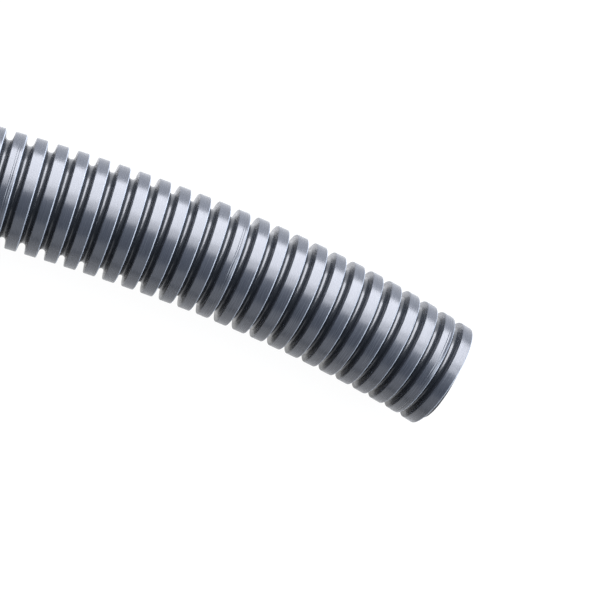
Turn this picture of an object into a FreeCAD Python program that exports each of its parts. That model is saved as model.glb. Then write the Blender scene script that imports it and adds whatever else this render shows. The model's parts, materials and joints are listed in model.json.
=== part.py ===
"""Corrugated polyamide conduit, one metre of stock lying on a level floor.

The tube is moulded in one piece: a thin wall that steps in and out in parallel,
flat-crested rings with rounded valleys between them. Most of the length is straight
along X. Towards the cut end it bends sideways, ever more tightly, and each ring keeps
its own shape there: only the valley floors between the rings bend. The cut there runs
at a slant across the valley after the last ring, from that ring's flank to the foot of
the ring that is cut away, and the other end is cut square at the middle of a valley.
"""

import FreeCAD, Part

import math
import os

# Driving dimensions in millimetres
bore_diameter = 16.5
outer_diameter = 21.2
wall = 0.45
crest_width = 2.2
crest_chamfer = 0.2
valley_width = 1.1
valley_rounding = 0.5
flank_run = 0.275
stock_length = 1000.0
bend_length = 154.0
bend_end_radius = 223.0
cut_offset = -0.27
cut_slant = math.radians(3.8)

# Sizes that follow from them
pitch = crest_width + valley_width + 2 * flank_run
foot = crest_width / 2 + flank_run
bore_radius = bore_diameter / 2
valley_radius = bore_radius + wall
crest_radius = outer_diameter / 2
flank_angle = math.atan2(flank_run, crest_radius - valley_radius)
foot_turn = math.pi / 2 - flank_angle
ring_reach = foot + valley_rounding * math.tan(foot_turn / 2)
ring_count = round(stock_length / pitch)
bent_ring_count = min(round(bend_length / pitch), ring_count - 1)
straight_ring_count = ring_count - bent_ring_count

ORIGIN = FreeCAD.Vector(0, 0, 0)
X_AXIS = FreeCAD.Vector(1, 0, 0)
Z_AXIS = FreeCAD.Vector(0, 0, 1)


def section_point(along, radius):
    """Point of the tube's section, in the upright plane through its axis."""
    return FreeCAD.Vector(along, 0, radius)


def line(start, end):
    return Part.LineSegment(start, end).toShape()


def crest_corner(centre, side):
    """Edges of the chamfer on one side of a crest, on the flank and on the crest.

    Side is -1 or 1 along the axis.
    """
    corner = centre + side * crest_width / 2
    on_flank = section_point(
        corner + side * crest_chamfer * math.sin(flank_angle),
        crest_radius - crest_chamfer * math.cos(flank_angle),
    )
    return on_flank, section_point(corner - side * crest_chamfer, crest_radius)


def rounded_foot(centre, side):
    """Three points of the arc at one foot of a ring, from the valley floor to the flank."""
    return [
        section_point(
            centre + side * (ring_reach - valley_rounding * math.sin(turn)),
            valley_radius + valley_rounding * (1 - math.cos(turn)),
        )
        for turn in (0, foot_turn / 2, foot_turn)
    ]


def ring_outside(centre):
    """Outside edges of one ring, from the valley floor before it to the one after it."""
    near_foot = rounded_foot(centre, -1)
    far_foot = rounded_foot(centre, 1)
    near_flank, near_crest = crest_corner(centre, -1)
    far_flank, far_crest = crest_corner(centre, 1)
    far_foot.reverse()
    return [
        Part.Arc(*near_foot).toShape(),
        line(near_foot[-1], near_flank),
        line(near_flank, near_crest),
        line(near_crest, far_crest),
        line(far_crest, far_flank),
        line(far_flank, far_foot[0]),
        Part.Arc(*far_foot).toShape(),
    ]


def ring_inside(centre):
    """Inside corners of one ring: the outside line moved in by the wall."""
    move_in = wall / math.cos(flank_angle) - wall * math.tan(flank_angle)
    return [
        section_point(centre - foot + move_in, bore_radius),
        section_point(centre - crest_width / 2 + move_in, crest_radius - wall),
        section_point(centre + crest_width / 2 - move_in, crest_radius - wall),
        section_point(centre + foot - move_in, bore_radius),
    ]


def turned_rings(count, start, end):
    """Solid of rings a pitch apart, turned about X, the first ring centred at x = 0.

    The valley floors before the first ring and after the last one reach to the start
    and the end, and have no length where a ring itself reaches as far.
    """
    centres = [index * pitch for index in range(count)]
    edges = []
    inside = [section_point(start, bore_radius)]
    reached = section_point(start, valley_radius)
    for centre in centres:
        ring_start = section_point(centre - ring_reach, valley_radius)
        if not reached.isEqual(ring_start, 1e-6):
            edges.append(line(reached, ring_start))
        edges.extend(ring_outside(centre))
        inside.extend(ring_inside(centre))
        reached = section_point(centre + ring_reach, valley_radius)
    inside.append(section_point(end, bore_radius))
    edges.append(line(reached, inside[-1]))
    inside.reverse()
    edges.extend(line(first, second) for first, second in zip(inside, inside[1:]))
    edges.append(line(inside[-1], section_point(start, valley_radius)))
    return Part.Face(Part.Wire(edges)).revolve(ORIGIN, X_AXIS, 360)


def heading(along_bend):
    """Angle that the axis has turned, where the curvature grows evenly from nothing."""
    return along_bend ** 2 / (2 * bend_length * bend_end_radius)


def forwards(angle):
    """Direction of the axis after it has turned from +X towards -Y."""
    return FreeCAD.Vector(math.cos(angle), -math.sin(angle), 0)


def placed(shape, position, angle):
    """Copy of a shape made along X, turned to a heading and moved to its place."""
    copy = shape.copy()
    copy.rotate(ORIGIN, Z_AXIS, -math.degrees(angle))
    copy.translate(position)
    return copy


def bent_valley(start, angle, turn):
    """Valley floor between two rings, a short piece of a ring-shaped tube."""
    bend_radius = (pitch / 2 - ring_reach) / math.tan(turn / 2)
    rim = line(section_point(0, bore_radius), section_point(0, valley_radius))
    rim = placed(rim.revolve(ORIGIN, X_AXIS, 360), start, angle)
    bend_centre = start + forwards(angle + math.pi / 2) * bend_radius
    return rim.revolve(bend_centre, -Z_AXIS, math.degrees(turn))


def end_ring():
    """Last ring, along X, and what the slanting cut leaves of the valley after it."""
    uncut = turned_rings(2, -ring_reach, pitch + ring_reach)
    size = 2 * outer_diameter
    block = Part.makeBox(size, size, size, FreeCAD.Vector(0, -size / 2, -size / 2))
    cut_middle = section_point(pitch / 2 + cut_offset, 0)
    return uncut.cut(placed(block, cut_middle, -cut_slant))


def skin(solid):
    """Faces of a solid but for its flat rims, which meet the next solid's."""
    return [face for face in solid.Faces if not isinstance(face.Surface, Part.Plane)]


def rim_at(solid, along):
    """Flat rim of a solid that lies furthest along a direction."""
    rims = [face for face in solid.Faces if isinstance(face.Surface, Part.Plane)]
    return max(rims, key=lambda face: face.CenterOfMass.dot(along))


def make_conduit():
    """The whole tube, its skin joined from the straight run, the bend and the cut end."""
    centre = section_point((straight_ring_count - 1) * pitch, 0)
    straight_run = turned_rings(straight_ring_count, -pitch / 2, centre.x + ring_reach)
    faces = skin(straight_run) + [rim_at(straight_run, -X_AXIS)]
    ring = turned_rings(1, -ring_reach, ring_reach)
    angle = 0.0
    for index in range(bent_ring_count):
        last_angle = angle
        angle = heading((index + 0.5) * pitch)
        valley_start = centre + forwards(last_angle) * ring_reach
        valley = bent_valley(valley_start, last_angle, angle - last_angle)
        faces += skin(valley)
        centre += (forwards(last_angle) + forwards(angle)) * (pitch / 2)
        if index < bent_ring_count - 1:
            faces += skin(placed(ring, centre, angle))
    cut_end = placed(end_ring(), centre, angle)
    faces += skin(cut_end) + [rim_at(cut_end, forwards(angle))]
    shell = Part.Shell(faces)
    shell.sewShape()
    tube = Part.Solid(shell)
    end_box = cut_end.optimalBoundingBox()
    middle_x = (end_box.XMax - pitch / 2) / 2
    middle_y = (end_box.YMin + crest_radius) / 2
    to_origin = FreeCAD.Vector(-middle_x, -middle_y, crest_radius)
    print("last ring at", centre + to_origin, "turned by", math.degrees(angle))
    tube.translate(to_origin)
    return tube


os.makedirs("parts", exist_ok=True)
conduit = make_conduit()
conduit.exportStep("parts/conduit.step")
print("rings", ring_count, "of which bent", bent_ring_count, "pitch", round(pitch, 3))
print("volume", round(conduit.Volume, 1), "valid", conduit.isValid(), "faces", len(conduit.Faces))
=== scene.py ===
"""A metre of grey corrugated polyamide conduit, lying on a pale studio floor.

The tube is one moulding: a thin wall that steps in and out in flat-crested rings. It is
made here in three lengths that meet in the middle of a valley floor, so that each stays
a light mesh: the bent end with its slanting cut, and two straight runs behind it. Every
ring is drawn out of a circle once, given its wall and its rounded corners, and copied.
"""

import json
import logging
import math
from dataclasses import dataclass, field
from enum import Enum
from typing import Callable

import bmesh
import bpy
import numpy as np
from mathutils import Matrix, Vector


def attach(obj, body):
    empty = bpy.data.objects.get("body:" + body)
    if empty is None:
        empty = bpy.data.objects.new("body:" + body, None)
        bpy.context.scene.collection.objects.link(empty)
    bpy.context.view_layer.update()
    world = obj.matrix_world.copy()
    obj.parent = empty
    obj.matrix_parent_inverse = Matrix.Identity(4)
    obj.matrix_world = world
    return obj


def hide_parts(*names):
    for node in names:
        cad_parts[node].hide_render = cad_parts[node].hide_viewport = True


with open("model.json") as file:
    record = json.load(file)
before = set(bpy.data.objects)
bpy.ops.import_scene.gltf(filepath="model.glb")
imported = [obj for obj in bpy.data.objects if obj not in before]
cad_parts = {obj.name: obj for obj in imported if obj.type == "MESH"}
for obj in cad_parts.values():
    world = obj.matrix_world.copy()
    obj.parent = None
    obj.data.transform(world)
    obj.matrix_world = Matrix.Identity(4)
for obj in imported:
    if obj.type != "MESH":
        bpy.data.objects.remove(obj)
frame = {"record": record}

MM = 0.001
TINY = 1e-6
NODE = "conduit"
BODY = "root"
RUN_NAMES = ("conduit_run_far", "conduit_run_near")
BEND_NAME = "conduit_bend"
ALONG_TUBE = "along_tube"
WHITE = (1, 1, 1, 1)

# Widest gaps between two neighbouring rings' edges that are closed, in line and bent
STRAIGHT_GAP = 0.01 * MM
BENT_GAP = 0.2 * MM

# Edges sharper than this stay sharp: the crests' and feet's roundings turn less a step
SHARP_FROM = math.radians(44)

# Blender's watts for a square metre of lamp as bright as an emission of strength 1
LAMP_WATTS = 4

log = logging.getLogger("conduit")


@dataclass(frozen=True)
class RingSection:
    """Section of one ring, and the cut across the valley after the last one, in metres.

    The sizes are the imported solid's, but for the corners: the crest's edges are rounded
    by as much as the solid has them chamfered, and the feet are rounded a little more.
    """

    bore_radius: float = 8.25 * MM
    wall: float = 0.45 * MM
    crest_radius: float = 10.6 * MM
    crest_width: float = 2.2 * MM
    crest_fillet: float = 0.2 * MM
    valley_width: float = 1.1 * MM
    valley_rounding: float = 0.6 * MM
    flank_run: float = 0.275 * MM
    cut_offset: float = -0.27 * MM
    cut_slant: float = math.radians(3.8)

    @property
    def pitch(self) -> float:
        """Length of tube that one ring takes up."""
        return self.crest_width + self.valley_width + 2 * self.flank_run

    @property
    def foot(self) -> float:
        """Distance from a ring's middle to the foot of its flank."""
        return self.crest_width / 2 + self.flank_run

    @property
    def valley_radius(self) -> float:
        """Outside radius of the valley floor."""
        return self.bore_radius + self.wall

    @property
    def corner_turn(self) -> float:
        """Angle that the section turns through at a crest's or a foot's corner."""
        return math.pi / 2 - math.atan2(self.flank_run, self.crest_radius - self.valley_radius)

    def corner_trim(self, radius: float) -> float:
        """Length that a rounded corner takes off the two lines that meet there.

        Args:
            radius: Radius of the rounding.

        Returns:
            Distance from the corner to where the rounding starts.
        """
        return radius * math.tan(self.corner_turn / 2)


@dataclass(frozen=True)
class MouldLine:
    """Fine ridge with two sloping sides round a crest, left between two mould blocks.

    Attributes:
        off_middle: Distance of its top from the crest's middle, towards the cut end.
        width: Width of its foot.
        height: Height of its top over the crest beside it.
    """

    off_middle: float
    width: float
    height: float


class RingKind(Enum):
    """The rings that the tube is made of, each with the lines that it carries.

    Real lines are too fine to show in the render, so they are as wide as they need to be.
    """

    PLAIN = ()
    BLOCK_JOINT = (
        MouldLine(off_middle=0.12 * MM, width=0.24 * MM, height=0.05 * MM),
        MouldLine(off_middle=0.5 * MM, width=0.24 * MM, height=0.05 * MM),
    )


@dataclass(frozen=True)
class Fineness:
    """How finely a length of the tube is meshed.

    Attributes:
        segments: Sides of the circle that each ring is drawn out of.
        crest_steps: Flats that round each edge of a crest.
        foot_steps: Flats that round each foot.
    """

    segments: int
    crest_steps: int
    foot_steps: int


RUN_FINENESS = Fineness(segments=44, crest_steps=2, foot_steps=2)
BEND_FINENESS = Fineness(segments=96, crest_steps=3, foot_steps=3)


@dataclass(frozen=True)
class TubePlan:
    """How the rings lie along the tube, counted from its far end.

    The moulds that travel with the tube hold block_rings rings each, and the first joint
    between two of them is joint_from_cut rings before the last one.
    """

    ring: RingSection = field(default_factory=RingSection)
    ring_count: int = 260
    bent_count: int = 40
    bend_length: float = 154.0 * MM
    bend_end_radius: float = 223.0 * MM
    block_rings: int = 11
    joint_from_cut: int = 1

    @property
    def straight_count(self) -> int:
        """Number of rings that lie in a straight line."""
        return self.ring_count - self.bent_count

    def step(self, rings: int) -> Vector:
        """Way along the straight part from one ring to another.

        Args:
            rings: Number of rings to go on by.

        Returns:
            Step towards +X.
        """
        return Vector((rings * self.ring.pitch, 0, 0))

    def heading(self, along_bend: float) -> float:
        """Angle that the axis has turned from +X towards -Y, some way along the bend.

        Args:
            along_bend: Distance from the bend's start, where it is still straight.

        Returns:
            Angle in radians. The curvature grows evenly with the distance.
        """
        return along_bend ** 2 / (2 * self.bend_length * self.bend_end_radius)

    def kind(self, index: int) -> RingKind:
        """Kind of one ring: the same one in each mould block carries the joint.

        Args:
            index: Index of the ring.

        Returns:
            What the ring is copied from.
        """
        from_cut = self.ring_count - 1 - index
        at_joint = from_cut % self.block_rings == self.joint_from_cut
        return RingKind.BLOCK_JOINT if at_joint else RingKind.PLAIN

    def bent_places(self, last_straight: Vector) -> list[Matrix]:
        """Places of the bent rings, each turned a little more than the last.

        Args:
            last_straight: Middle of the last ring of the straight part.

        Returns:
            One matrix for each ring, from the bend's start to the cut end.
        """
        places = []
        middle = last_straight.copy()
        angle = 0.0
        for index in range(self.bent_count):
            last_angle = angle
            angle = self.heading((index + 0.5) * self.ring.pitch)
            middle += (forwards(last_angle) + forwards(angle)) * (self.ring.pitch / 2)
            places.append(Matrix.Translation(middle) @ Matrix.Rotation(-angle, 4, "Z"))
        return places


def forwards(angle: float) -> Vector:
    """Direction of the axis after it has turned from +X towards -Y.

    Args:
        angle: Angle that it has turned by, in radians.

    Returns:
        Unit vector.
    """
    return Vector((math.cos(angle), -math.sin(angle), 0.0))


def off_axis(point: Vector) -> float:
    """Distance of a point from the X axis.

    Args:
        point: Point of a mesh that lies along X.

    Returns:
        Its radius in the tube.
    """
    return math.hypot(point.y, point.z)


def select_only(piece: bpy.types.Object) -> None:
    """Makes one object the only selected one, and the active one.

    Args:
        piece: The object.
    """
    bpy.ops.object.select_all(action="DESELECT")
    piece.select_set(True)
    bpy.context.view_layer.objects.active = piece


def pick(piece: bpy.types.Object, kind: str, wanted: Callable) -> None:
    """Selects, in edit mode, just the parts of a mesh that a test accepts.

    Args:
        piece: Object that is in edit mode.
        kind: "verts", "edges" or "faces".
        wanted: Test that takes one such part.
    """
    modes = {"verts": "VERT", "edges": "EDGE", "faces": "FACE"}
    bpy.ops.mesh.select_mode(type=modes[kind])
    bpy.ops.mesh.select_all(action="DESELECT")
    mesh = bmesh.from_edit_mesh(piece.data)
    for part in getattr(mesh, kind):
        if wanted(part):
            part.select_set(True)
    mesh.select_flush_mode()
    bmesh.update_edit_mesh(piece.data)


def apply_modifier(piece: bpy.types.Object, kind: str, **settings: object) -> None:
    """Adds a modifier to an object and applies it at once.

    Args:
        piece: Object that the modifier changes.
        kind: Blender's name for the modifier.
        settings: The modifier's own properties.
    """
    select_only(piece)
    modifier = piece.modifiers.new(kind.title(), kind)
    for name, value in settings.items():
        setattr(modifier, name, value)
    bpy.ops.object.modifier_apply(modifier=modifier.name)


def stamp_along_tube(mesh: bpy.types.Mesh, shift: float) -> None:
    """Notes on a straight mesh where each point lies along the unbent tube.

    The moulded surface's fine marks are laid on by this, so that they go round the
    rings in the bend as they do in the straight runs.

    Args:
        mesh: Mesh that still lies straight along X, with its axis on the X axis.
        shift: Distance along the tube of the mesh's own origin.
    """
    places = np.zeros(len(mesh.vertices) * 3, np.float32)
    mesh.vertices.foreach_get("co", places)
    places[0::3] += shift
    mesh.attributes.new(ALONG_TUBE, "FLOAT_VECTOR", "POINT").data.foreach_set("vector", places)


def join_rings(rings: list[bpy.types.Object], gap: float) -> bpy.types.Object:
    """Joins rings that lie end to end into one mesh.

    Args:
        rings: Rings, each with its own mesh.
        gap: Widest gap between two rings' edges that is closed.

    Returns:
        One object at the origin.
    """
    bpy.ops.object.select_all(action="DESELECT")
    for ring in rings:
        ring.select_set(True)
    bpy.context.view_layer.objects.active = rings[0]
    bpy.ops.object.join()
    joined = bpy.context.object
    bpy.ops.object.transform_apply(location=True, rotation=True, scale=True)
    bpy.ops.object.mode_set(mode="EDIT")
    pick(joined, "verts", lambda vert: vert.is_boundary)
    bpy.ops.mesh.remove_doubles(threshold=gap)
    bpy.ops.object.mode_set(mode="OBJECT")
    return joined


def close_rims(piece: bpy.types.Object) -> None:
    """Closes each open end with a flat rim between the outside and the bore.

    Args:
        piece: Length of tube with an open wall at each end.
    """
    select_only(piece)
    bpy.ops.object.mode_set(mode="EDIT")
    middle = sum(vert.co.x for vert in piece.data.vertices) / len(piece.data.vertices)
    for side in (-1, 1):
        pick(
            piece, "edges",
            lambda edge: edge.is_boundary and (edge.verts[0].co.x - middle) * side > 0,
        )
        bpy.ops.mesh.bridge_edge_loops()
    bpy.ops.object.mode_set(mode="OBJECT")


class RingMaker:
    """Draws one ring of each kind out of a circle, at one fineness."""

    def __init__(self, section: RingSection, fineness: Fineness) -> None:
        """Makes the rings that a length of tube is copied from.

        Args:
            section: Section of the rings.
            fineness: How finely they are meshed.
        """
        self.section = section
        self.fineness = fineness
        self.rings = {kind: self.make(kind) for kind in RingKind}

    def make(self, kind: RingKind) -> bpy.types.Object:
        """One ring, from the middle of a valley floor to the middle of the next.

        The crest beside a mould line is lower by the line's height, so that the line's
        top is as far out as the other crests.

        Args:
            kind: Which ring to make.

        Returns:
            Object with the ring's outside and inside, open at the two valley middles.
        """
        highest = max((line.height for line in kind.value), default=0.0)
        crest = self.section.crest_radius - highest
        ring = self.draw_out(crest)
        apply_modifier(
            ring, "SOLIDIFY", thickness=self.section.wall, offset=-1.0,
            use_even_offset=True, use_rim=False,
        )
        self.round_corners(ring, crest)
        for line in kind.value:
            self.raise_line(ring, crest, line)
        ring.name = f"ring_{kind.name.lower()}"
        return ring

    def draw_out(self, crest: float) -> bpy.types.Object:
        """Outside skin of the ring, extruded loop by loop from a circle.

        Args:
            crest: Radius of the crest.

        Returns:
            Object with the open skin, its faces pointing outwards.
        """
        section = self.section
        half_crest, half_pitch = section.crest_width / 2, section.pitch / 2
        loops = [
            (-section.foot, section.valley_radius),
            (-half_crest, crest),
            (half_crest, crest),
            (section.foot, section.valley_radius),
            (half_pitch, section.valley_radius),
        ]
        bpy.ops.object.select_all(action="DESELECT")
        bpy.ops.mesh.primitive_circle_add(
            vertices=self.fineness.segments, radius=section.valley_radius,
            location=(-half_pitch, 0, 0), rotation=(0, math.pi / 2, 0),
        )
        ring = bpy.context.object
        bpy.ops.object.transform_apply(location=True, rotation=True, scale=True)
        bpy.ops.object.mode_set(mode="EDIT")
        bpy.ops.mesh.select_all(action="SELECT")
        last_along, last_radius = -half_pitch, section.valley_radius
        for along, radius in loops:
            step = {"value": (along - last_along, 0, 0)}
            bpy.ops.mesh.extrude_region_move(TRANSFORM_OT_translate=step)
            growth = radius / last_radius
            bpy.ops.transform.resize(value=(1, growth, growth), center_override=(along, 0, 0))
            last_along, last_radius = along, radius
        bpy.ops.mesh.select_all(action="SELECT")
        bpy.ops.mesh.normals_make_consistent(inside=False)
        bpy.ops.object.mode_set(mode="OBJECT")
        return ring

    def round_corners(self, ring: bpy.types.Object, crest: float) -> None:
        """Rounds the crest's two edges and the two feet, on the outside only.

        Args:
            ring: Ring with its wall.
            crest: Radius of the crest.
        """
        section, fineness = self.section, self.fineness
        half_crest, floor = section.crest_width / 2, section.valley_radius
        corners = (
            (half_crest, crest, section.crest_fillet, fineness.crest_steps),
            (section.foot, floor, section.valley_rounding, fineness.foot_steps),
        )
        select_only(ring)
        bpy.ops.object.mode_set(mode="EDIT")
        for along, radius, fillet, steps in corners:

            def on_corner(edge: bmesh.types.BMEdge) -> bool:
                """Whether an edge runs round the ring at this corner."""
                start, end = (vert.co for vert in edge.verts)
                return start.x * end.x > 0 and all(
                    abs(abs(point.x) - along) < TINY
                    and abs(off_axis(point) - radius) < TINY
                    for point in (start, end)
                )

            pick(ring, "edges", on_corner)
            bpy.ops.mesh.bevel(
                offset_type="OFFSET", offset=section.corner_trim(fillet), segments=steps,
                profile=0.5, affect="EDGES", clamp_overlap=False,
            )
        bpy.ops.object.mode_set(mode="OBJECT")

    def raise_line(self, ring: bpy.types.Object, crest: float, line: MouldLine) -> None:
        """Raises one fine line round the crest.

        The crest is cut at the line's two feet and its top, and the top is then widened.

        Args:
            ring: Ring with its wall and rounded corners.
            crest: Radius of the crest beside the line.
            line: Place and size of the line.
        """
        lowest = crest * math.cos(math.pi / self.fineness.segments) - TINY

        def on_crest(face: bmesh.types.BMFace) -> bool:
            """Whether a face lies on the crest's flat."""
            return lowest < off_axis(face.calc_center_median()) < crest + TINY

        def on_top(vert: bmesh.types.BMVert) -> bool:
            """Whether a point lies on the line's top, and not in the bore below it."""
            return abs(vert.co.x - line.off_middle) < TINY and off_axis(vert.co) > lowest

        select_only(ring)
        bpy.ops.object.mode_set(mode="EDIT")
        for off_top in (-line.width / 2, 0.0, line.width / 2):
            along = line.off_middle + off_top
            pick(ring, "faces", on_crest)
            bpy.ops.mesh.bisect(plane_co=(along, 0, 0), plane_no=(1, 0, 0), threshold=TINY)
        pick(ring, "verts", on_top)
        growth = (crest + line.height) / crest
        bpy.ops.transform.resize(value=(1, growth, growth), center_override=(0, 0, 0))
        bpy.ops.object.mode_set(mode="OBJECT")

    def copy(self, kind: RingKind, place: Vector) -> bpy.types.Object:
        """A ring with a mesh of its own.

        Args:
            kind: Which ring to copy.
            place: Where its middle goes.

        Returns:
            The new object, which lies along X.
        """
        model = self.rings[kind]
        ring = model.copy()
        ring.data = model.data.copy()
        bpy.context.scene.collection.objects.link(ring)
        ring.matrix_world = Matrix.Translation(place)
        return ring

    def clear_away(self) -> None:
        """Deletes the model rings once everything is copied from them."""
        for ring in self.rings.values():
            bpy.data.objects.remove(ring)


class TubeLength:
    """One length of the tube, made of rings that are joined at the valley middles."""

    def __init__(self, name: str, plan: TubePlan, maker: RingMaker) -> None:
        """Notes what the length is made from.

        Args:
            name: Name of the piece.
            plan: How the rings lie.
            maker: What the rings are copied from.
        """
        self.name = name
        self.plan = plan
        self.maker = maker

    def finish(self, piece: bpy.types.Object, coat: bpy.types.Material) -> None:
        """Names a length of tube, smooths its rounded corners and dresses it.

        Args:
            piece: Closed length of tube, in place.
            coat: Its material.
        """
        select_only(piece)
        bpy.ops.object.shade_smooth_by_angle(angle=SHARP_FROM)
        apply_modifier(piece, "WEIGHTED_NORMAL", keep_sharp=True)
        piece.name = self.name
        piece.data.name = self.name
        piece.data.materials.append(coat)
        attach(piece, BODY)
        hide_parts(NODE)
        triangles = sum(len(face.vertices) - 2 for face in piece.data.polygons)
        log.info("%s: %d triangles", piece.name, triangles)


class StraightRun(TubeLength):
    """A straight run, made of blocks of rings as the travelling moulds leave them."""

    def build(
        self, first_index: int, blocks: int, first_middle: Vector, coat: bpy.types.Material
    ) -> None:
        """Builds the run from a block of rings that an array repeats.

        Args:
            first_index: Index of the run's first ring, from the far end.
            blocks: Number of mould blocks.
            first_middle: Middle of that ring.
            coat: The run's material.
        """
        plan = self.plan
        rings = [
            self.maker.copy(plan.kind(first_index + index), plan.step(index))
            for index in range(plan.block_rings)
        ]
        run = join_rings(rings, STRAIGHT_GAP)
        apply_modifier(
            run, "ARRAY", count=blocks, use_relative_offset=False, use_constant_offset=True,
            constant_offset_displace=plan.step(plan.block_rings),
            use_merge_vertices=True, merge_threshold=STRAIGHT_GAP,
        )
        close_rims(run)
        stamp_along_tube(run.data, plan.step(first_index).x)
        run.data.transform(Matrix.Translation(first_middle))
        self.finish(run, coat)


class BentEnd(TubeLength):
    """The bent end of the tube, with the slanting cut across its last valley."""

    def build(self, last_straight: Vector, coat: bpy.types.Material) -> None:
        """Builds the bend ring by ring, each one rigid, and closes its two ends.

        Args:
            last_straight: Middle of the last ring of the straight part.
            coat: The bend's material.
        """
        plan = self.plan
        numbers = range(plan.straight_count, plan.ring_count)
        rings = [self.maker.copy(plan.kind(number), Vector()) for number in numbers[:-1]]
        rings.append(self.cut_end())
        for number, ring, place in zip(numbers, rings, plan.bent_places(last_straight)):
            stamp_along_tube(ring.data, plan.step(number).x)
            ring.matrix_world = place
        bend = join_rings(rings, BENT_GAP)
        close_rims(bend)
        self.finish(bend, coat)

    def cut_end(self) -> bpy.types.Object:
        """Last ring and what the slanting cut leaves of the valley after it.

        Returns:
            Both as one object that lies along X, open at the cut.
        """
        plan = self.plan
        ring_and_next = join_rings(
            [
                self.maker.copy(plan.kind(plan.ring_count - 1), plan.step(0)),
                self.maker.copy(RingKind.PLAIN, plan.step(1)),
            ],
            STRAIGHT_GAP,
        )
        middle = (plan.ring.pitch / 2 + plan.ring.cut_offset, 0, 0)
        across = forwards(-plan.ring.cut_slant)
        bpy.ops.object.mode_set(mode="EDIT")
        bpy.ops.mesh.select_all(action="SELECT")
        bpy.ops.mesh.bisect(plane_co=middle, plane_no=across, clear_outer=True, threshold=TINY)
        bpy.ops.object.mode_set(mode="OBJECT")
        return ring_and_next


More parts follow.
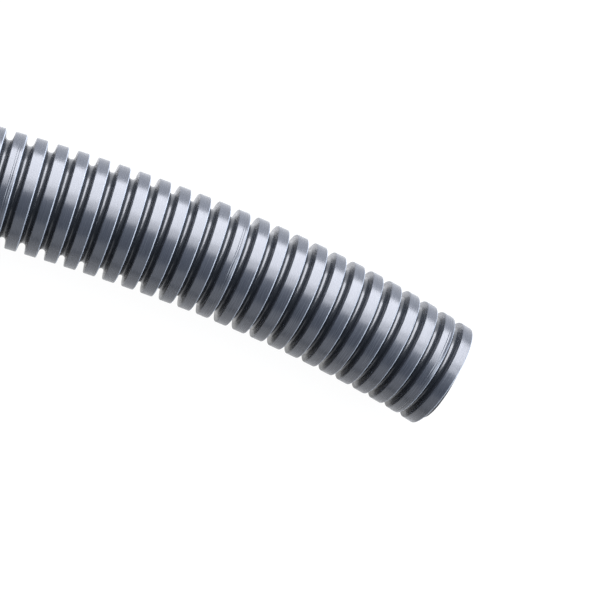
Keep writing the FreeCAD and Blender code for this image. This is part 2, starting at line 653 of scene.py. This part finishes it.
@dataclass(frozen=True)
class MouldedPolyamide:
    """Grey polyamide 6 as it leaves a steel mould: a hard skin between satin and glossy.

    The eye gets a dark blue-grey body under a bright, slightly soft mirror of the
    lamps, and very fine marks that run round each ring, where the mould was turned. The
    body is darkened down in the valleys as painted shade, and a paler line along each
    crest's edge towards the cut end is a painted highlight. Real turning marks are too
    fine to show in the render, so they lie as far apart as they need to.
    """

    section: RingSection = field(default_factory=RingSection)
    body_colour: str = "#282b31"
    cloud_colour: str = "#24272c"
    # Colour of the painted shade that darkens the valley floors
    valley_shade_colour: str = "#15181c"
    # Colour of the painted highlight line along each crest's edge
    edge_highlight_colour: str = "#62676e"
    ior: float = 1.53
    roughness: float = 0.26
    roughness_swing: float = 0.06
    # Width of the painted highlight line, and its inset from the crest's edge
    edge_highlight_width: float = 0.18 * MM
    edge_highlight_inset: float = 0.045 * MM
    streak_spacing: float = 0.16 * MM
    streak_length: float = 6.0 * MM
    streak_depth: float = 0.004 * MM
    streak_grain: float = 0.6
    streak_values: tuple[float, float] = (0.25, 0.75)
    cloud_size: float = 9.0 * MM
    noise_detail: float = 3.0

    def material(self) -> bpy.types.Material:
        """The finish as a material.

        Returns:
            Material whose marks follow the tube by its unbent coordinates.
        """
        coat = bpy.data.materials.new("moulded_grey_polyamide")
        coat.use_nodes = True
        tree = coat.node_tree
        along = add_node(tree, "ShaderNodeAttribute", attribute_name=ALONG_TUBE)
        place = along.outputs["Vector"]
        colour = self.clouded(tree, place)
        # Painted shade: the body is darkened from under the crests down to the valley floors
        colour = self.painted_valley_shade(tree, place, colour)
        # Painted highlight: a paler line along each crest's edge towards the cut end
        colour = self.painted_edge_highlight(tree, place, colour)
        streaks = self.streaks(tree, place)
        lowest, highest = self.streak_values
        gloss = add_node(
            tree, "ShaderNodeMapRange",
            {
                "Value": streaks, "From Min": lowest, "From Max": highest,
                "To Min": self.roughness - self.roughness_swing,
                "To Max": self.roughness + self.roughness_swing,
            },
        )
        relief = add_node(
            tree, "ShaderNodeBump",
            {"Height": streaks, "Strength": 1.0, "Distance": self.streak_depth},
        )
        shader = tree.nodes["Principled BSDF"]
        shader.inputs["IOR"].default_value = self.ior
        tree.links.new(colour, shader.inputs["Base Color"])
        tree.links.new(gloss.outputs["Result"], shader.inputs["Roughness"])
        tree.links.new(relief.outputs["Normal"], shader.inputs["Normal"])
        return coat

    def clouded(
        self, tree: bpy.types.NodeTree, place: bpy.types.NodeSocket
    ) -> bpy.types.NodeSocket:
        """Body colour with the faint clouds that pigment leaves in a moulding.

        Args:
            tree: The material's nodes.
            place: Place in the unbent tube.

        Returns:
            Socket with the colour.
        """
        clouds = add_node(
            tree, "ShaderNodeTexNoise",
            {"Vector": place, "Scale": 1 / self.cloud_size, "Detail": self.noise_detail},
        )
        clouded = add_node(
            tree, "ShaderNodeMix",
            {
                "Factor": clouds.outputs["Fac"],
                "A": linear(self.body_colour), "B": linear(self.cloud_colour),
            },
            data_type="RGBA",
        )
        return clouded.outputs["Result"]

    def painted_valley_shade(
        self, tree: bpy.types.NodeTree, place: bpy.types.NodeSocket,
        colour: bpy.types.NodeSocket,
    ) -> bpy.types.NodeSocket:
        """Darkens a colour, as painted shade, from the wall under the crests down to the
        valley floors.

        Args:
            tree: The material's nodes.
            place: Place in the unbent tube.
            colour: Colour of the crests.

        Returns:
            Socket with the new colour.
        """
        across = add_node(tree, "ShaderNodeMapping", {"Vector": place, "Scale": (0, 1, 1)})
        radius = add_node(
            tree, "ShaderNodeVectorMath", {"Vector": across.outputs[0]}, operation="LENGTH"
        )
        height = add_node(
            tree, "ShaderNodeMapRange",
            {
                "Value": radius.outputs["Value"],
                "From Min": self.section.valley_radius,
                "From Max": self.section.crest_radius - self.section.wall,
            },
        )
        shaded = add_node(
            tree, "ShaderNodeMix",
            {
                "Factor": height.outputs["Result"],
                "A": linear(self.valley_shade_colour), "B": colour,
            },
            data_type="RGBA",
        )
        return shaded.outputs["Result"]

    def painted_edge_highlight(
        self, tree: bpy.types.NodeTree, place: bpy.types.NodeSocket,
        colour: bpy.types.NodeSocket,
    ) -> bpy.types.NodeSocket:
        """Lays a paler line, a painted highlight, on each crest along its edge towards the cut
        end.

        Args:
            tree: The material's nodes.
            place: Place in the unbent tube.
            colour: Colour beside the line.

        Returns:
            Socket with the new colour.
        """
        split = add_node(tree, "ShaderNodeSeparateXYZ", {"Vector": place})
        in_ring = add_node(
            tree, "ShaderNodeMath", {0: split.outputs["X"], 1: self.section.pitch},
            operation="FLOORED_MODULO",
        )
        edge = add_node(
            tree, "ShaderNodeMath",
            {
                0: in_ring.outputs[0],
                1: self.section.crest_width / 2 - self.edge_highlight_inset,
                2: self.edge_highlight_width / 2,
            },
            operation="COMPARE",
        )
        # Painted highlight laid over the body colour
        highlighted = add_node(
            tree, "ShaderNodeMix",
            {"Factor": edge.outputs[0], "A": colour, "B": linear(self.edge_highlight_colour)},
            data_type="RGBA",
        )
        return highlighted.outputs["Result"]

    def streaks(
        self, tree: bpy.types.NodeTree, place: bpy.types.NodeSocket
    ) -> bpy.types.NodeSocket:
        """Fine marks round the rings, from the turned mould.

        Args:
            tree: The material's nodes.
            place: Place in the unbent tube.

        Returns:
            Socket with the marks' height, from 0 to 1.
        """
        stretch = (1 / self.streak_spacing, 1 / self.streak_length, 1 / self.streak_length)
        stretched = add_node(tree, "ShaderNodeMapping", {"Vector": place, "Scale": stretch})
        streaks = add_node(
            tree, "ShaderNodeTexNoise",
            {
                "Vector": stretched.outputs[0], "Scale": 1.0,
                "Detail": self.noise_detail, "Roughness": self.streak_grain,
            },
        )
        return streaks.outputs["Fac"]


def linear(colour: str) -> tuple[float, float, float, float]:
    """Turns an sRGB hex colour to linear RGBA.

    Args:
        colour: Colour such as "#8a9099".

    Returns:
        Red, green, blue and a full alpha, from 0 to 1.
    """
    shares = [int(colour[start:start + 2], 16) / 255 for start in (1, 3, 5)]
    rgb = [s / 12.92 if s <= 0.04045 else ((s + 0.055) / 1.055) ** 2.4 for s in shares]
    return (*rgb, 1.0)


def add_node(
    tree: bpy.types.NodeTree, kind: str, inputs: dict | None = None, **settings: object
) -> bpy.types.Node:
    """Adds one node with its settings, values and links.

    Args:
        tree: Node tree that gets the node.
        kind: Blender's name for the node.
        inputs: Value or output socket for each input that isn't left as it is, by the
            input's name, or by its number where names repeat.
        settings: The node's own properties.

    Returns:
        The new node.
    """
    node = tree.nodes.new(kind)
    for name, value in settings.items():
        setattr(node, name, value)
    for key, value in (inputs or {}).items():
        if isinstance(key, int):
            socket = node.inputs[key]
        else:
            socket = next(s for s in node.inputs if s.name == key and s.enabled)
        if isinstance(value, bpy.types.NodeSocket):
            tree.links.new(value, socket)
        else:
            socket.default_value = value
    return node


@dataclass(frozen=True)
class Panel:
    """A flat softbox that faces the tube, with sizes and places in metres."""

    name: str
    colour: str
    brightness: float
    width: float
    height: float
    centre: tuple[float, float, float]
    facing: tuple[float, float, float]

    def hang(self) -> None:
        """Adds the softbox as an area lamp that the camera doesn't see."""
        lamp = bpy.data.lights.new(self.name, "AREA")
        lamp.shape = "RECTANGLE"
        lamp.size, lamp.size_y = self.width, self.height
        lamp.color = linear(self.colour)[:3]
        lamp.energy = LAMP_WATTS * self.width * self.height * self.brightness
        holder = bpy.data.objects.new(self.name, lamp)
        bpy.context.scene.collection.objects.link(holder)
        towards = Vector(self.facing) - Vector(self.centre)
        holder.rotation_euler = towards.to_track_quat("-Z", "Y").to_euler()
        holder.location = self.centre
        holder.visible_camera = False


@dataclass(frozen=True)
class Viewpoint:
    """The camera: nearly overhead, turned so that the tube runs down to the right.

    Its angles are in degrees, and its lens and sensor in millimetres.
    """

    looks_at: tuple[float, float, float] = (467.54 * MM, -0.87 * MM, 10.6 * MM)
    distance: float = 335.5 * MM
    azimuth: float = 265.42
    elevation: float = 80.04
    roll: float = 107.46
    lens: float = 106.6
    sensor_width: float = 36.0

    def place(self) -> None:
        """Adds the camera and makes it the scene's own."""
        azimuth, elevation = math.radians(self.azimuth), math.radians(self.elevation)
        back = Vector((
            math.sin(azimuth) * math.cos(elevation),
            -math.cos(azimuth) * math.cos(elevation),
            math.sin(elevation),
        ))
        camera = bpy.data.objects.new("camera", bpy.data.cameras.new("camera"))
        camera.data.lens = self.lens
        camera.data.sensor_width = self.sensor_width
        camera.location = Vector(self.looks_at) + back * self.distance
        level = (-back).to_track_quat("-Z", "Y")
        turned = level.to_matrix() @ Matrix.Rotation(math.radians(self.roll), 3, "Z")
        camera.rotation_euler = turned.to_euler()
        bpy.context.scene.collection.objects.link(camera)
        bpy.context.scene.camera = camera


class Studio:
    """Pale floor, soft lamps and the camera."""

    FLOOR_SIZE = 30.0
    FLOOR_COLOUR = "#eeeef0"
    FLOOR_ROUGHNESS = 0.6
    ROOM_COLOUR = "#dfe3ec"
    ROOM_STRENGTH = 0.15

    # How much of the floor is plain white, to the camera and in the tube's gloss
    WHITE_SHARE = 0.96
    MIRRORED_SHARE = 0.8

    # A tall bright panel stands on the side that the tube bends away from, with a smaller
    # one over it, one beyond the cut end, and a weak one low on the other side
    PANELS = (
        Panel(
            "softbox", "#f4f6ff", brightness=12.0, width=1.5, height=1.46,
            centre=(0.72, 1.023, 0.627), facing=(0.72, 0.0, 0.0),
        ),
        Panel(
            "softbox_top", "#f4f6ff", brightness=7.0, width=0.9, height=0.4,
            centre=(0.65, 0.361, 1.144), facing=(0.65, 0.0, 0.0),
        ),
        Panel(
            "end_light", "#eaf2ff", brightness=7.0, width=0.9, height=1.5,
            centre=(1.5, -0.1, 0.8), facing=(0.49, 0.0, 0.0),
        ),
        Panel(
            "low_fill", "#f4f7ff", brightness=1.1, width=2.4, height=0.9,
            centre=(0.3, -1.2, 0.55), facing=(0.3, 0.0, 0.0),
        ),
    )

    def build(self) -> None:
        """Builds the whole set."""
        self.lay_floor()
        self.fill_room()
        for panel in self.PANELS:
            panel.hang()
        Viewpoint().place()
        bpy.context.scene.view_settings.view_transform = "Standard"

    def lay_floor(self) -> None:
        """Lays the floor, a white acrylic sheet that eye and gloss see overexposed."""
        bpy.ops.object.select_all(action="DESELECT")
        bpy.ops.mesh.primitive_plane_add(size=self.FLOOR_SIZE)
        floor = bpy.context.object
        floor.name = "studio_floor"
        sheet = bpy.data.materials.new("white_acrylic")
        sheet.use_nodes = True
        tree = sheet.node_tree
        acrylic = tree.nodes["Principled BSDF"]
        acrylic.inputs["Base Color"].default_value = linear(self.FLOOR_COLOUR)
        acrylic.inputs["Roughness"].default_value = self.FLOOR_ROUGHNESS
        glow = add_node(tree, "ShaderNodeEmission", {"Color": WHITE, "Strength": 1.0})
        rays = add_node(tree, "ShaderNodeLightPath")
        mirrored = add_node(
            tree, "ShaderNodeMath",
            {0: rays.outputs["Is Glossy Ray"], 1: self.MIRRORED_SHARE},
            operation="MULTIPLY",
        )
        share = add_node(
            tree, "ShaderNodeMath",
            {0: rays.outputs["Is Camera Ray"], 1: self.WHITE_SHARE, 2: mirrored.outputs[0]},
            operation="MULTIPLY_ADD",
        )
        both = add_node(
            tree, "ShaderNodeMixShader",
            {0: share.outputs[0], 1: acrylic.outputs[0], 2: glow.outputs[0]},
        )
        tree.links.new(both.outputs[0], tree.nodes["Material Output"].inputs["Surface"])
        floor.data.materials.append(sheet)

    def fill_room(self) -> None:
        """Fills the room with a low even light, and shows it white to the camera."""
        world = bpy.data.worlds.new("studio_room")
        world.use_nodes = True
        bpy.context.scene.world = world
        tree = world.node_tree
        tree.nodes.clear()
        room = add_node(
            tree, "ShaderNodeBackground",
            {"Color": linear(self.ROOM_COLOUR), "Strength": self.ROOM_STRENGTH},
        )
        white = add_node(tree, "ShaderNodeBackground", {"Color": WHITE, "Strength": 1.0})
        rays = add_node(tree, "ShaderNodeLightPath")
        both = add_node(
            tree, "ShaderNodeMixShader",
            {0: rays.outputs["Is Camera Ray"], 1: room.outputs[0], 2: white.outputs[0]},
        )
        add_node(tree, "ShaderNodeOutputWorld", {"Surface": both.outputs[0]})


def build_tube(plan: TubePlan, coat: bpy.types.Material) -> None:
    """Builds the tube's three lengths, from its far end to the cut.

    Args:
        plan: How the rings lie.
        coat: The tube's material.
    """
    mounts = {mount["name"]: mount for mount in frame["record"]["mounts"]}
    first_ring = Vector(mounts["outside"]["pos_m"])

    coarse = RingMaker(plan.ring, RUN_FINENESS)
    blocks = plan.straight_count // plan.block_rings // len(RUN_NAMES)
    for number, name in enumerate(RUN_NAMES):
        index = number * blocks * plan.block_rings
        start = first_ring + plan.step(index)
        StraightRun(name, plan, coarse).build(index, blocks, start, coat)
    coarse.clear_away()

    fine = RingMaker(plan.ring, BEND_FINENESS)
    last_straight = first_ring + plan.step(plan.straight_count - 1)
    BentEnd(BEND_NAME, plan, fine).build(last_straight, coat)
    fine.clear_away()


def main() -> None:
    """Builds the tube and the studio round it; each length logs its triangles."""
    logging.basicConfig(level=logging.INFO, format="%(name)s: %(message)s")
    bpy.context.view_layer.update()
    build_tube(TubePlan(), MouldedPolyamide().material())
    Studio().build()


if __name__ == "__main__":
    main()
